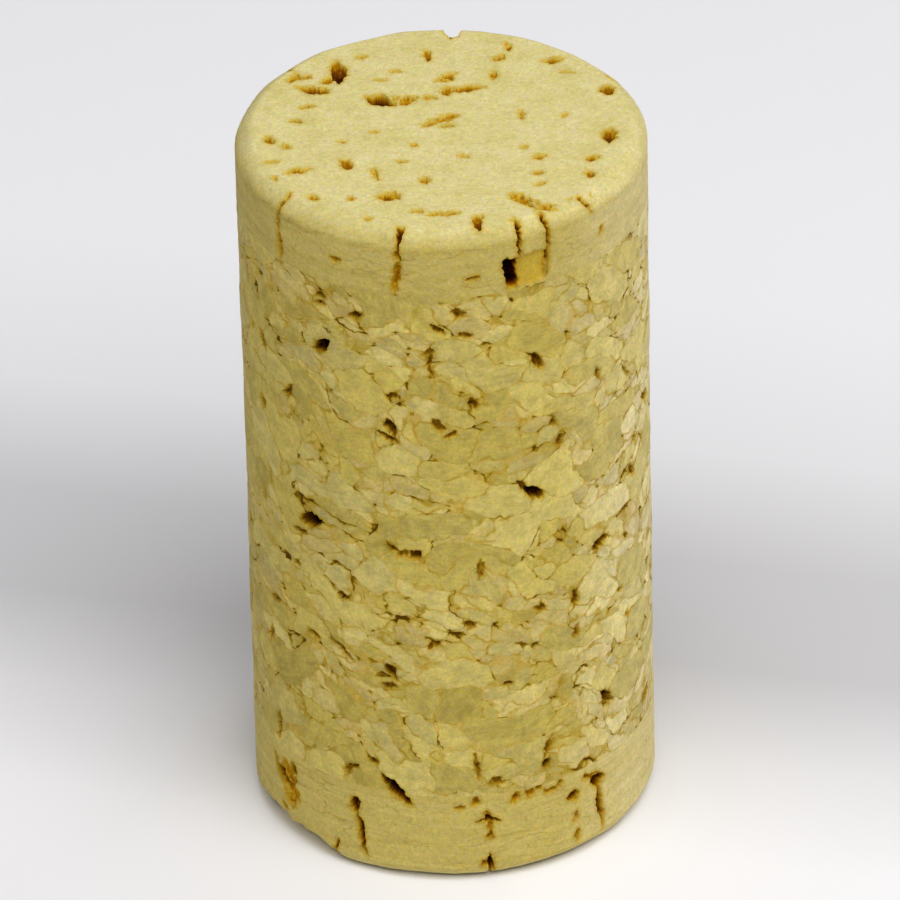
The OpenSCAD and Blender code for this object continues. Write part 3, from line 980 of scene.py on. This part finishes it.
def make_body():
    """The granule body, with its pattern drawn to the voids."""
    tree = solid_tree("granule_body")
    ends = (BOTTOM_JOIN, TOP_JOIN)

    def depth_of(points):
        outward = body_outward(points)
        low, high = BOTTOM_JOIN + JOIN_MARGIN, TOP_JOIN - JOIN_MARGIN
        worn, depth = solid_depth(tree, points, outward, low, high, not_worn)
        specks = speck_depth(unrolled(ragged(points, outward)), on_side(BODY_SPECKS))
        return worn, np.maximum(depth, np.where(np.abs(outward).sum(axis=1) > 0, specks, 0))

    bm = refined(*body_form(), depth_of)
    points = bmesh_points(bm)
    outward = body_outward(points)
    depth = depth_of(points)[1]
    piece = finish_piece(bm, "granule_body", "granule_cork", points, outward, depth, ends)
    set_attribute(piece.data, "granule_place", points)
    corners = granule_corners(piece.data, points, granule_fields(piece)["tone"])
    read_at = drawn_to_voids(points, void_centres(points, depth), corners)
    stored = piece.data.attributes["granule_place"].data
    stored.foreach_set("vector", read_at.astype(np.float32).ravel())
    found = granule_fields(piece)
    grooves = SEAM_GROOVE * found["seam"] + KNOT_GROOVE * found["knot"]
    grooves += GRANULE_STEP * found["tone"]
    from_join = np.minimum(points[:, 2] - BOTTOM_JOIN, TOP_JOIN - points[:, 2])
    sunk = depth + plain_relief(points) + grooves * np.clip(from_join / JOIN_FADE, 0, 1)
    place_points(piece.data, points - outward * sunk[:, None])
    piece.data.materials.append(granule_cork("granule_finish"))


def make_floor():
    mesh = bpy.data.meshes.new("floor")
    half = FLOOR_SIZE / 2
    corners = [(-half, -half, 0), (half, -half, 0), (half, half, 0), (-half, half, 0)]
    mesh.from_pydata(corners, [], [(0, 1, 2, 3)])
    floor = bpy.data.objects.new("floor", mesh)
    bpy.context.scene.collection.objects.link(floor)
    mesh.materials.append(floor_material())


def make_camera():
    data = bpy.data.cameras.new("camera")
    data.lens = CAMERA_LENS
    data.sensor_width = SENSOR_WIDTH
    camera = bpy.data.objects.new("camera", data)
    bpy.context.scene.collection.objects.link(camera)
    back = Vector((0, -math.cos(CAMERA_ELEVATION), math.sin(CAMERA_ELEVATION)))
    level = Matrix((Vector((1, 0, 0)), back.cross(Vector((1, 0, 0))), back)).transposed()
    turned = level @ Matrix.Rotation(CAMERA_ROLL, 3, "Z")
    camera.matrix_world = Matrix.Translation(CAMERA_AIM + CAMERA_DISTANCE * back) @ turned.to_4x4()
    bpy.context.scene.camera = camera


def make_lights():
    scene = bpy.context.scene
    scene.view_settings.view_transform = "Standard"
    world = bpy.data.worlds.new("studio")
    scene.world = world
    world.use_nodes = True
    world.node_tree.nodes["Background"].inputs["Strength"].default_value = WORLD_SHARE
    world.node_tree.nodes["Background"].inputs["Color"].default_value = (1, 1, 1, 1)
    for name, turn, lean, size, share in LAMPS:
        turn, lean = math.radians(turn), math.radians(lean)
        across = math.sin(lean)
        towards = Vector((math.sin(turn) * across, -math.cos(turn) * across, math.cos(lean)))
        data = bpy.data.lights.new(name, "AREA")
        data.size = size
        data.energy = share * (math.pi * LAMP_DISTANCE) ** 2 / math.cos(lean)
        lamp = bpy.data.objects.new(name, data)
        lamp.location = CAMERA_AIM + LAMP_DISTANCE * towards
        lamp.rotation_euler = towards.to_track_quat("Z", "Y").to_euler()
        scene.collection.objects.link(lamp)


make_camera()
make_lights()
make_floor()
make_disc("top_disc", LENGTH, TOP_JOIN, TOP_EDGE_R, flake_worn, FACE_SPECKS, TOP_SIDE_SPECKS, TOP_LOOK)
make_body()
make_disc("bottom_disc", 0.0, BOTTOM_JOIN, BOTTOM_EDGE_R, rim_worn, [], BOTTOM_SPECKS, BOTTOM_LOOK)
